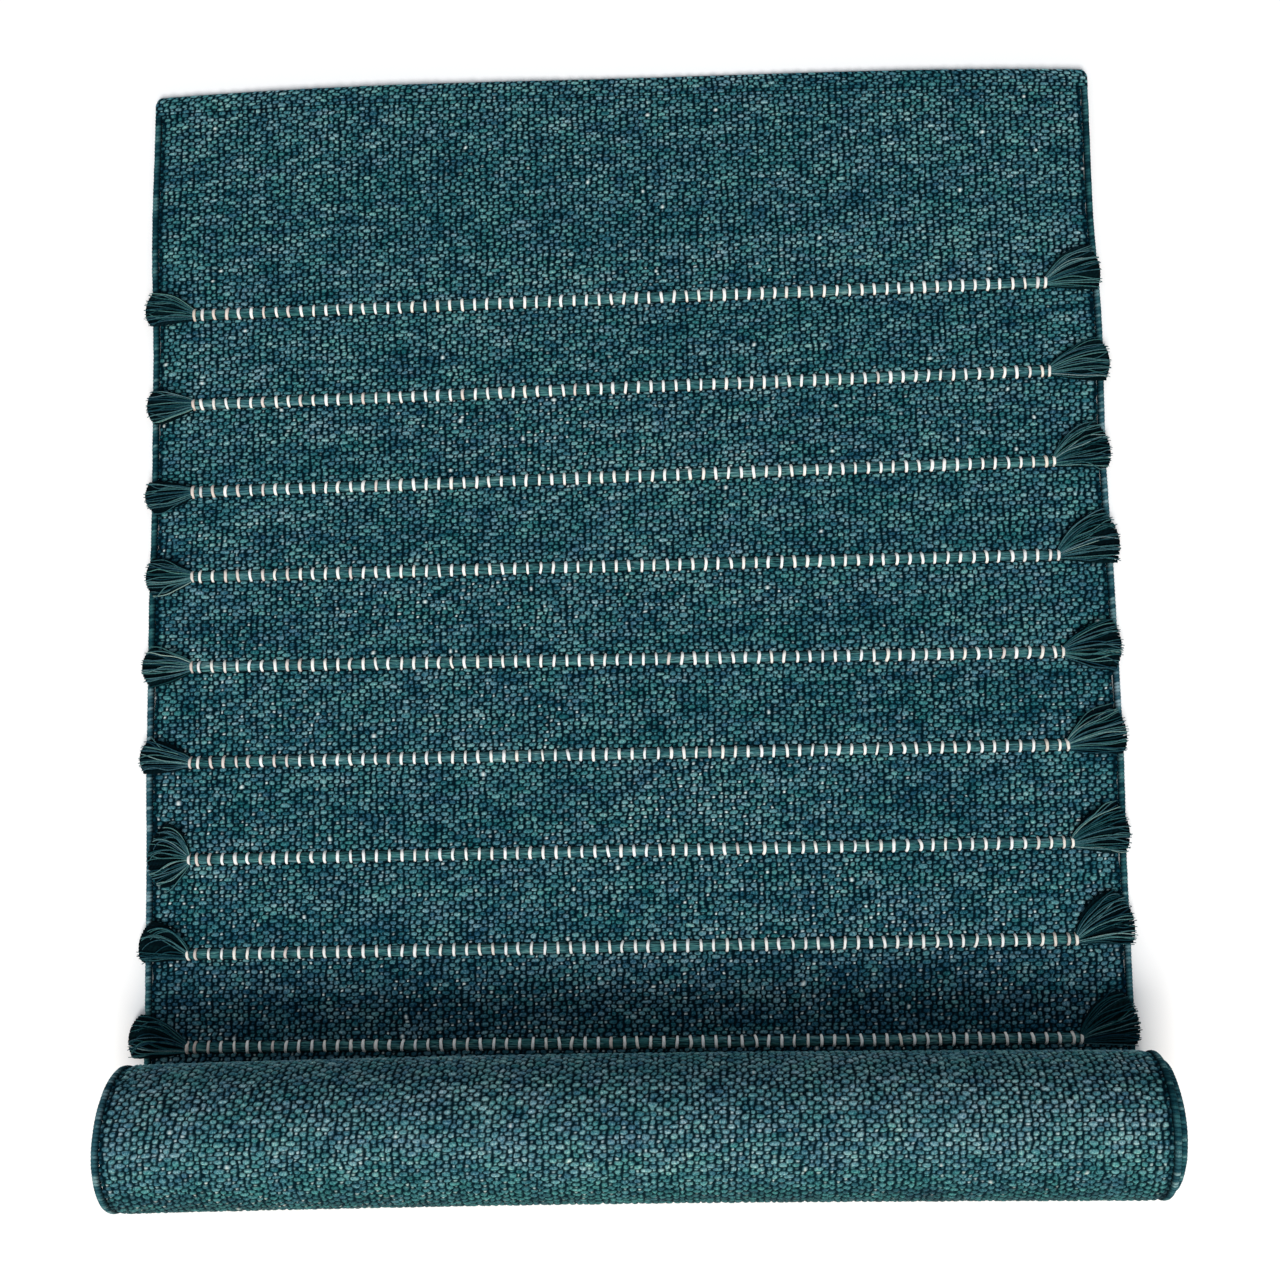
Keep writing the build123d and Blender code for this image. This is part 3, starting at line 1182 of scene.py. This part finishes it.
@dataclass
class StripeFrame:
    """One stripe's own frame, read from its packed bundle: along, across and up."""

    number: int
    lay: Lay
    start: Vector
    end: Vector
    half_width: float
    floats: Array
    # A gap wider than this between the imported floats' points, in metres, parts two floats.
    float_gap: float = 2.4 * MM

    @classmethod
    def read(cls, number: int, lay: Lay) -> "StripeFrame":
        """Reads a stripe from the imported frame.

        Args:
            number: which stripe, from 1 at the far end.
            lay: how the cloth lies.

        Returns:
            The stripe's frame.
        """
        left, right = bundle_rims(number)
        arches = np.sort(node_points(f"warp_floats_{number}")[:, 0])
        breaks = np.flatnonzero(np.diff(arches) > cls.float_gap) + 1
        middles = np.array([group.mean() for group in np.split(arches, breaks)])
        width = (left[:, 1].max() - left[:, 1].min()) / 2
        return cls(number, lay, cls.middle_of(left), cls.middle_of(right), width, middles)

    @staticmethod
    def middle_of(rim: Array) -> Vector:
        """The middle of one end of a bundle, on the frame's ground."""
        return Vector((rim[:, 0].mean(), (rim[:, 1].min() + rim[:, 1].max()) / 2, 0))

    def place(self, x: Array, v: Array, up: Array) -> Array:
        """Puts points of the stripe in the frame.

        Args:
            x: the frame's X.
            v: across the stripe from its middle, towards the far end.
            up: above the cloth's face.

        Returns:
            The points.
        """
        x, v, up = np.broadcast_arrays(x, v, up)
        slope = (self.end.y - self.start.y) / (self.end.x - self.start.x)
        y = self.start.y + slope * (x - self.start.x) + v
        shifted = x - slope * v
        z = self.lay.thickness + self.lay.lift(x, y) + up
        return np.stack([shifted, y, z], -1)


@dataclass
class InlayBundle:
    """One thick inlaid weft of loose yarns, pressed down under each float and full between them."""

    stripe: StripeFrame
    yarns: int = 9
    points_per_yarn: int = 3
    steps_per_float: int = 6
    # Sizes in millimetres: how far it stands up and reaches down, and how a float presses it.
    crown: float = 2.3
    bed: float = 1.9
    press: float = 0.5
    pinch: float = 0.35
    pressed_reach: float = 1.25
    ridge_height: float = 0.5
    knot_height: float = 0.25
    # Shares of the half width, of the crown and of the bed, and how square the crown's section is.
    yarn_sway: float = 0.16
    fine_sway: float = 0.05
    crown_sway: float = 0.08
    width_sway: float = 0.05
    shoulder: float = 0.55
    arch_power: float = 2.6

    def build(self, finish: bpy.types.Material) -> bpy.types.Object:
        """Makes the bundle as one closed mesh with its yarns in relief.

        Args:
            finish: the bundle's material.

        Returns:
            The bundle.
        """
        stripe, seed = self.stripe, 500 + self.stripe.number
        floats = stripe.floats
        inner = [
            np.linspace(a, b, self.steps_per_float, endpoint=False) for a, b in zip(floats, floats[1:])
        ]
        x = np.concatenate([[stripe.start.x], *inner, [floats[-1], stripe.end.x]])[:, None]
        nearest = np.abs(x - floats[None, :]).min(1)[:, None]
        held = np.exp(-((nearest / (self.pressed_reach * MM)) ** 2))
        count = self.yarns * self.points_per_yarn + 1
        t = np.linspace(-1, 1, count)[None, :]
        wander = Wander(seed, 0.013, 0.21, 128).at(x, t)
        fine = Wander(seed + 20, 0.005, 0.16, 256).at(x, t)
        phase = (t + self.yarn_sway * wander + self.fine_sway * fine) * self.yarns / 2
        ridge = np.abs(np.cos(np.pi * phase))
        arch = np.clip(1 - np.abs(t) ** self.arch_power, 0, 1)
        full = 1 + self.crown_sway * Wander(seed + 40, 0.022, 5.0).at(x, t)
        crown = (self.crown * full - self.press * held) * MM
        swelling = 1.0 + self.width_sway * wander[:, :1]
        half = (stripe.half_width / MM * swelling - self.pinch * held) * MM
        knots = Wander(seed + 30, 0.0022, 0.2, 256).at(x, t)
        relief = self.ridge_height * (ridge - 0.6) + self.knot_height * knots
        up = crown * arch - self.bed * MM * (1 - arch) * self.shoulder + relief * MM * arch**0.3
        v = t * half
        top = stripe.place(x, v, up)
        under_t = np.linspace(0.8, -0.8, 5)[None, :]
        under = stripe.place(x, under_t * half, np.full(1, -self.bed * MM))
        points = np.concatenate([top, under], 1)
        tone = Wander(seed + 60, 0.02, 0.24, 128).at(x, t + 0.3 * wander)
        part = Wander(seed + 80, 0.09, 0.6).at(x, t)
        pad = ((0, 0), (0, under.shape[1]))
        # Painted shade: darker in the grooves between yarns, where a float presses the bundle down, towards
        # its edges and on its underside.
        crest = np.clip(0.12 + 0.7 * ridge + 0.2 * knots, 0, 1)
        crest = crest * (1 - 0.6 * held) * np.clip(arch * 2.2, 0, 1)
        traits = {
            "tone": np.pad(0.54 + 0.25 * tone + 0.14 * part + 0.16 * knots, pad, mode="edge"),
            "hue": np.pad(np.clip(0.3 + 0.4 * part + 0.3 * fine, 0, 1), pad, mode="edge"),
            "crest": np.pad(crest, pad, mode="constant", constant_values=0.1),
            "fleck": np.pad(np.where(fine > 0.93, 0.35, 0.0), pad),
        }
        mesh = Patchwork()
        numbers = mesh.grid(points, traits, (0.0, 0.0, 0.99, 0.99), ring=True, flip=True)
        ends = {"tone": 0.35, "crest": 0.4}
        mesh.cap(numbers[0], points[0].mean(0), ends, False)
        mesh.cap(numbers[-1], points[-1].mean(0), ends, True)
        name = f"inlay_bundle_{stripe.number}"
        bundle = mesh.make(name, finish)
        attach(bundle, "root")
        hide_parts(name)
        return bundle


def strip_tile(index: int, total: int) -> Tile:
    """One yarn's upright strip of the bake map, among all the yarns of its piece."""
    low = 0.99 * index / total
    return low, 0.0, low + 0.9 / total, 0.99


def yarn_tube(
    mesh: Patchwork,
    line: Array,
    width: Array,
    flatness: float,
    twist: float,
    traits: dict[str, float],
    tile: Tile,
    ring: int = 8,
    ply: float = 0.16,
) -> None:
    """Adds one plied yarn along a line.

    Args:
        mesh: collects the yarn.
        line: the points that it follows.
        width: its width at each point.
        flatness: its height as a share of its width.
        twist: turns of the ply along the whole line.
        traits: the yarn's tone and fleck.
        tile: its place on the bake map.
        ring: how many points there are round it.
        ply: how deep the groove between its two plies is, as a share of its radius.
    """
    ahead = np.gradient(line, axis=0)
    ahead /= np.linalg.norm(ahead, axis=1, keepdims=True)
    sideways = np.cross(ahead, np.array([0.0, 0.0, 1.0]))
    sideways /= np.linalg.norm(sideways, axis=1, keepdims=True)
    above = np.cross(sideways, ahead)
    angle = np.linspace(0, 2 * np.pi, ring, endpoint=False)[None, :]
    along = np.linspace(0, 1, len(line))[:, None]
    lobe = np.abs(np.cos(angle - 2 * np.pi * twist * along / 2))
    radius = width[:, None] / 2 * (1 - ply + ply * lobe)
    points = (
        line[:, None, :]
        + (radius * np.cos(angle))[..., None] * sideways[:, None, :]
        + (radius * flatness * np.sin(angle))[..., None] * above[:, None, :]
    )
    # Painted shade: each yarn is darker on its underside and in the groove between its plies, and its caps
    # half so.
    height = 0.5 + 0.5 * np.sin(angle)
    shaped = {name: np.full(points.shape[:2], value) for name, value in traits.items()}
    shaped["crest"] = np.clip(height * 0.75 + 2.2 * ply * (lobe - 0.5), 0, 1) * traits.get("crest", 1.0)
    numbers = mesh.grid(points, shaped, tile, ring=True)
    ends = {**traits, "crest": 0.4}
    mesh.cap(numbers[0], line[0], ends, True)
    mesh.cap(numbers[-1], line[-1], ends, False)


@dataclass
class WarpFloats:
    """The white warp ends that arch over one bundle and dive into the cloth on both sides."""

    stripe: StripeFrame
    steps: int = 13
    # Sizes in millimetres, and how much chance moves them.
    width: float = 1.95
    reach: float = 3.6
    crown: float = 2.4
    dive: float = 0.9
    lean: float = 0.25
    bow: tuple[float, float] = (0.1, 0.28)
    reach_spread: float = 0.18
    # The arch is flat on top, and each end thins by this share.
    arch_power: float = 3.2
    taper: float = 0.12
    flatness: float = 0.55
    # The floats at both ends have taken up some of the dye, and dusty ones stand mostly at the left.
    tone: float = 0.72
    soil: float = 0.42
    soiled: int = 5
    dust: float = 0.6

    def build(self, finish: bpy.types.Material) -> bpy.types.Object:
        """Makes every float of the stripe, each with its own lean, bow and thickness.

        Args:
            finish: the floats' material.

        Returns:
            The floats, as one piece.
        """
        stripe = self.stripe
        chance = np.random.default_rng(SEED + 600 + stripe.number)
        mesh = Patchwork()
        total = len(stripe.floats)
        t = np.linspace(-1, 1, self.steps)
        for index, middle in enumerate(stripe.floats):
            lean, bow = chance.normal(0, self.lean), chance.normal(*self.bow)
            reach = self.reach + chance.normal(0, self.reach_spread)
            width = self.width * (1 + chance.normal(0, 0.08))
            x = middle + (lean * t + bow * (1 - t**2)) * MM
            arch = 1 - np.abs(t) ** self.arch_power
            up = (-self.dive + (self.crown + self.dive) * arch + chance.normal(0, 0.05)) * MM
            line = stripe.place(x, t * reach * MM, up)
            swell = width * (1 - self.taper + self.taper * (1 - t**4)) * MM
            dusty = 0.45 if index < 3 else 0.25 if index < 12 else 0.03
            soiled = self.soil * max(0.0, 1 - min(index, total - 1 - index) / self.soiled)
            traits = {
                "tone": float(np.clip(self.tone - soiled + chance.normal(0, 0.12), 0.1, 1)),
                "hue": float(np.clip(0.45 + chance.normal(0, 0.3), 0, 1)),
                "fleck": self.dust if chance.uniform() < dusty else 0.0,
            }
            twist, tile = chance.uniform(1.2, 2.2), strip_tile(index, total)
            yarn_tube(mesh, line, swell, self.flatness, twist, traits, tile, ring=10, ply=0.1)
        name = f"warp_floats_{stripe.number}"
        floats = mesh.make(name, finish)
        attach(floats, "root")
        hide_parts(name)
        return floats


@dataclass
class Tassel:
    """A bundle's cut ends, nearly all one length, fanned out over the margin and past the selvedge.

    Thin yarns lie on top. Broad dark ones under them stand for the shaded depth of the fan.
    """

    stripe: StripeFrame
    side: Side
    under_yarns: int = 15
    fewest: int = 14
    most: int = 30
    steps: int = 26
    # Sizes in millimetres.
    width: float = 0.72
    under_width: float = 3.3
    spacing: float = 1.25
    tuck: float = 2.5
    belly: float = 1.7
    crown: float = 2.4
    top_height: float = 2.3
    under_height: float = 1.1
    # How far a yarn turns back at its end, in radians, and the shortest yarn as a share of the longest.
    curl: float = 0.0
    shortest: float = 0.965
    tone: float = 0.47
    under_tone: float = 0.06
    ply: float = 0.26

    def strand(
        self, share: float, near: float, far: float, reach: float, on_top: bool, chance: np.random.Generator
    ) -> Array:
        """Draws one yarn as a line of even steps whose heading turns on the way.

        Args:
            share: its place in the fan, 0 at the near side and 1 at the far side.
            near: how far the fan spreads to the near side, in metres.
            far: how far it spreads to the far side.
            reach: the yarn's length.
            on_top: whether it is a thin yarn of the upper layer, which wanders.
            chance: draws its own wandering.

        Returns:
            Points outward and across, in metres.
        """
        t = (np.arange(self.steps - 1) + 0.5) / (self.steps - 1)
        lane = 2 * share - 1
        begin = 0.8 * lane * self.stripe.half_width
        goal = near + (far - near) * share - begin
        leave = float(np.clip(goal / (0.56 * reach), -1.35, 1.35))
        settle = 0.12 * leave
        if on_top:
            turns = chance.uniform(0.7, 1.6)
            wave = chance.normal(0, 0.3) * np.sin(2 * np.pi * (turns * t + chance.uniform()))
            leave += chance.normal(0, 0.05)
            settle += chance.normal(0, 0.1)
        else:
            wave = np.zeros(self.steps - 1)
        if self.curl and on_top and share > 0.35:
            leave += self.curl * chance.uniform(0.1, 0.8)
            settle -= self.curl * chance.uniform(0.1, 1.9)
        heading = leave + (settle - leave) * t**1.2 + wave * t
        step = reach / (self.steps - 1)
        moved = np.stack([np.cos(heading), np.sin(heading)], 1) * step
        if self.side is Side.LEFT:
            moved *= 1 - 0.1 * lane**2
        else:
            moved *= 1 + 0.1 * share - 0.06 * lane**2
        moved *= chance.uniform(self.shortest, 1.0) if on_top else self.shortest
        line = np.concatenate([[[0.0, 0.0]], np.cumsum(moved, 0)])
        return line + np.array([0.0, begin])

    def build(self, finish: bpy.types.Material) -> bpy.types.Object:
        """Makes every yarn of the tassel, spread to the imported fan's corners.

        Args:
            finish: the tassel's material.

        Returns:
            The tassel, as one piece.
        """
        stripe = self.stripe
        name = f"tassel_{self.side.name.lower()}_{stripe.number}"
        low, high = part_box(name)
        root = stripe.start if self.side is Side.LEFT else stripe.end
        tuck = self.tuck * MM
        reach = (high.x - root.x) if self.side is Side.RIGHT else (root.x - low.x)
        near, far = low.y - root.y, high.y - root.y
        chance = np.random.default_rng(SEED * 3 + 700 + stripe.number * 2 + self.side.value)
        upper = int(np.clip(round((far - near) / (self.spacing * MM)), self.fewest, self.most))
        total = upper + self.under_yarns
        places = [(i + chance.uniform(0.3, 0.7)) / upper for i in range(upper)]
        places += [(i + chance.uniform(0.4, 0.6)) / self.under_yarns for i in range(self.under_yarns)]
        lines = np.stack(
            [self.strand(share, near, far, reach, i < upper, chance) for i, share in enumerate(places)]
        )
        half = self.width * MM / 2
        high_v, low_v = lines[..., 1].max(), lines[..., 1].min()
        grow = np.where(lines[..., 1] > 0, (far - half) / high_v, (near + half) / low_v)
        opening = ease(np.linspace(0, 1, self.steps) * 2)
        lines[..., 1] *= 1 + (grow - 1) * opening
        lines[..., 0] *= (reach - half) / lines[..., 0].max()

        mesh = Patchwork()
        t = np.linspace(0, 1, self.steps)
        edge = stripe.lay.half_width - abs(root.x)
        slope = (stripe.end.y - stripe.start.y) / (stripe.end.x - stripe.start.x)
        for index, (share, line) in enumerate(zip(places, lines)):
            on_top = index < upper
            lane = 2 * share - 1
            out = line[:, 0] * (1 + tuck / reach) - tuck
            lean = slope * self.side.value * line[:, 0]
            crown = self.crown * math.sqrt(1 - 0.7 * lane**2)
            begin_up = crown - 0.4 if on_top else 0.2
            rest_up = self.top_height + chance.uniform(0, 0.9) if on_top else self.under_height
            settle = ease(np.clip(t * 2.2, 0, 1))
            belly = self.belly * np.sin(np.pi * t) * (0.35 + 0.65 * ease(share * 1.3))
            drop = 0.2 * np.clip(line[:, 0] - edge, 0, None)
            up = (begin_up + (rest_up - begin_up) * settle + belly) * MM - drop
            path = stripe.place(root.x + self.side.value * out, line[:, 1] - lean, up)
            full = self.width if on_top else self.under_width * (0.45 + 0.55 * ease(t * 1.6))
            width = full * (1 + chance.normal(0, 0.09)) * MM * (1 - 0.3 * t**10)
            # Painted shade: the broad under yarns are dark and low in crest, as the shade inside the fan.
            tone = self.tone if on_top else self.under_tone
            traits = {
                "tone": float(np.clip(tone + chance.normal(0, 0.16), 0, 1)),
                "hue": float(np.clip(0.45 + chance.normal(0, 0.25), 0, 1)),
                "fleck": 0.0,
                "crest": 1.0 if on_top else 0.3,
            }
            flatness = 0.95 if on_top else 0.4
            twist, tile = chance.uniform(9, 13), strip_tile(index, total)
            yarn_tube(mesh, path, width, flatness, twist, traits, tile, ply=self.ply)
        tassel = mesh.make(name, finish)
        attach(tassel, "root")
        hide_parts(name)
        return tassel


@dataclass(frozen=True)
class SoftLight:
    """A square soft light, aimed at the middle of the rug."""

    name: str
    size: float
    power: float
    colour: tuple[float, float, float]
    place: tuple[float, float, float]

    def hang(self) -> None:
        """Makes the light."""
        light = bpy.data.lights.new(self.name, "AREA")
        light.shape = "SQUARE"
        light.size = self.size
        light.energy = self.power
        light.color = self.colour
        lamp = bpy.data.objects.new(self.name, light)
        lamp.location = self.place
        aim = Vector((0.0, 0.0, 0.0)) - lamp.location
        lamp.rotation_mode = "QUATERNION"
        lamp.rotation_quaternion = aim.to_track_quat("-Z", "Y")
        bpy.context.scene.collection.objects.link(lamp)


@dataclass
class Studio:
    """The floor, the lights and the camera."""

    key: SoftLight = SoftLight("key", 2.5, 325.0, (1.0, 0.985, 0.965), (-0.1, -3.9, 4.6))
    fill: SoftLight = SoftLight("warm_fill", 1.2, 42.0, (1.0, 0.58, 0.16), (0.0, -3.0, 0.35))
    room_colour: tuple[float, float, float, float] = (0.95, 1.0, 1.06, 1.0)
    room_strength: float = 0.46
    floor_size: float = 6.0
    floor_height: float = -0.4 * MM
    frame_width: float = 36.0
    lens: float = 42.525
    eye: tuple[float, float, float] = (0.0301, 0.1934, 0.9372)
    elevation: float = 84.1
    yaw: float = -13.24
    roll: float = -14.39

    def floor(self) -> None:
        """Lays a plain pale floor just under the rug."""
        mesh = bpy.data.meshes.new("floor")
        size, drop = self.floor_size, self.floor_height
        corners = [(-size, -size, drop), (size, -size, drop), (size, size, drop), (-size, size, drop)]
        mesh.from_pydata(corners, [], [(0, 1, 2, 3)])
        mesh.materials.append(MattPaint().build())
        floor = bpy.data.objects.new("floor", mesh)
        bpy.context.scene.collection.objects.link(floor)

    def lights(self) -> None:
        """Hangs a large soft key and a low warm fill at the near side, in an even white room."""
        world = bpy.data.worlds.new("room")
        bpy.context.scene.world = world
        world.use_nodes = True
        room = world.node_tree.nodes["Background"]
        room.inputs["Color"].default_value = self.room_colour
        room.inputs["Strength"].default_value = self.room_strength
        self.key.hang()
        self.fill.hang()

    def camera(self, axis_y: float) -> None:
        """Sets the camera over the rug, looking almost straight down.

        Args:
            axis_y: the roll's axis, which the eye's place is measured from.
        """
        elevation, yaw, roll = (math.radians(a) for a in (self.elevation, self.yaw, self.roll))
        forward = Vector(
            (math.sin(yaw) * math.cos(elevation), math.cos(yaw) * math.cos(elevation), -math.sin(elevation))
        )
        level = Vector((math.cos(yaw), -math.sin(yaw), 0.0))
        upright = level.cross(forward)
        right = level * math.cos(roll) + upright * math.sin(roll)
        up = upright * math.cos(roll) - level * math.sin(roll)
        data = bpy.data.cameras.new("camera")
        data.sensor_width = self.frame_width
        data.lens = self.lens
        data.clip_start, data.clip_end = 0.05, 20.0
        camera = bpy.data.objects.new("camera", data)
        turn = Matrix((right, up, -forward)).transposed().to_4x4()
        place = Vector(self.eye) + Vector((0.0, axis_y, 0.0))
        camera.matrix_world = Matrix.Translation(place) @ turn
        bpy.context.scene.collection.objects.link(camera)
        bpy.context.scene.camera = camera


def read_lay() -> Lay:
    """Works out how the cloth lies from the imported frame.

    Returns:
        The cloth's lay.
    """
    roll_low, roll_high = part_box("cloth_roll")
    _, flat_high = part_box("cloth_flat")
    _, band_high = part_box("end_band_far")
    radius = (roll_high.z - roll_low.z) / 2
    stripes = sum(1 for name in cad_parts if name.startswith("inlay_bundle_"))
    middles, rises = [], []
    half_width = band_high.x
    for number in range(1, stripes + 1):
        left, right = bundle_rims(number)
        low_x, high_x = left[:, 0].min(), right[:, 0].max()
        left_y, right_y = ((rim[:, 1].min() + rim[:, 1].max()) / 2 for rim in (left, right))
        slope = (right_y - left_y) / (high_x - low_x)
        middles.append(left_y - slope * low_x)
        rises.append(slope * 2 * half_width)
    return Lay(
        far_end=band_high.y - Lay.end_bow,
        axis_y=roll_low.y + radius,
        roll_radius=radius,
        thickness=flat_high.z,
        half_width=half_width,
        stripe_y=np.array(middles),
        stripe_rise=np.array(rises),
    )


def main() -> None:
    """Builds the rug piece by piece, then the studio."""
    logging.basicConfig(level=logging.INFO, format="%(message)s")
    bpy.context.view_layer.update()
    lay = read_lay()
    LOG.info("cloth %.0f mm long, rolled from %.0f mm", lay.length / MM, lay.flat_length / MM)
    ground = MelangeWeft().build()
    edge, inlay = CordedEdge().build(), LooseInlay().build()
    warp, plied = UndyedWarp().build(), TwistedTassel().build()

    studio = Studio()
    studio.camera(lay.axis_y)
    studio.floor()
    studio.lights()
    cloth = GroundCloth(lay)
    made = [cloth.build(ground)]
    band = cloth.end_band * MM
    made.append(EndBand(lay, "end_band_far", 0.0, band, True).build(ground))
    made.append(EndBand(lay, "end_band_inner", lay.length - band, lay.length, False).build(ground))
    made.extend(Selvedge(lay, side).build(edge) for side in Side)
    for number in range(1, len(lay.stripe_y) + 1):
        stripe = StripeFrame.read(number, lay)
        made.append(InlayBundle(stripe).build(inlay))
        made.append(WarpFloats(stripe).build(warp))
        curl = TASSEL_CURLS.get(number, Tassel.curl)
        tone = TASSEL_SHADED_TONES.get(number, Tassel.tone)
        made.append(Tassel(stripe, Side.LEFT, curl=curl, tone=tone).build(plied))
        made.append(Tassel(stripe, Side.RIGHT, tone=tone).build(plied))
    for piece in made:
        LOG.info("%s: %d faces", piece.name, len(piece.data.polygons))
    bpy.context.scene.view_settings.view_transform = "Standard"
    bpy.context.view_layer.update()


if __name__ == "__main__":
    main()
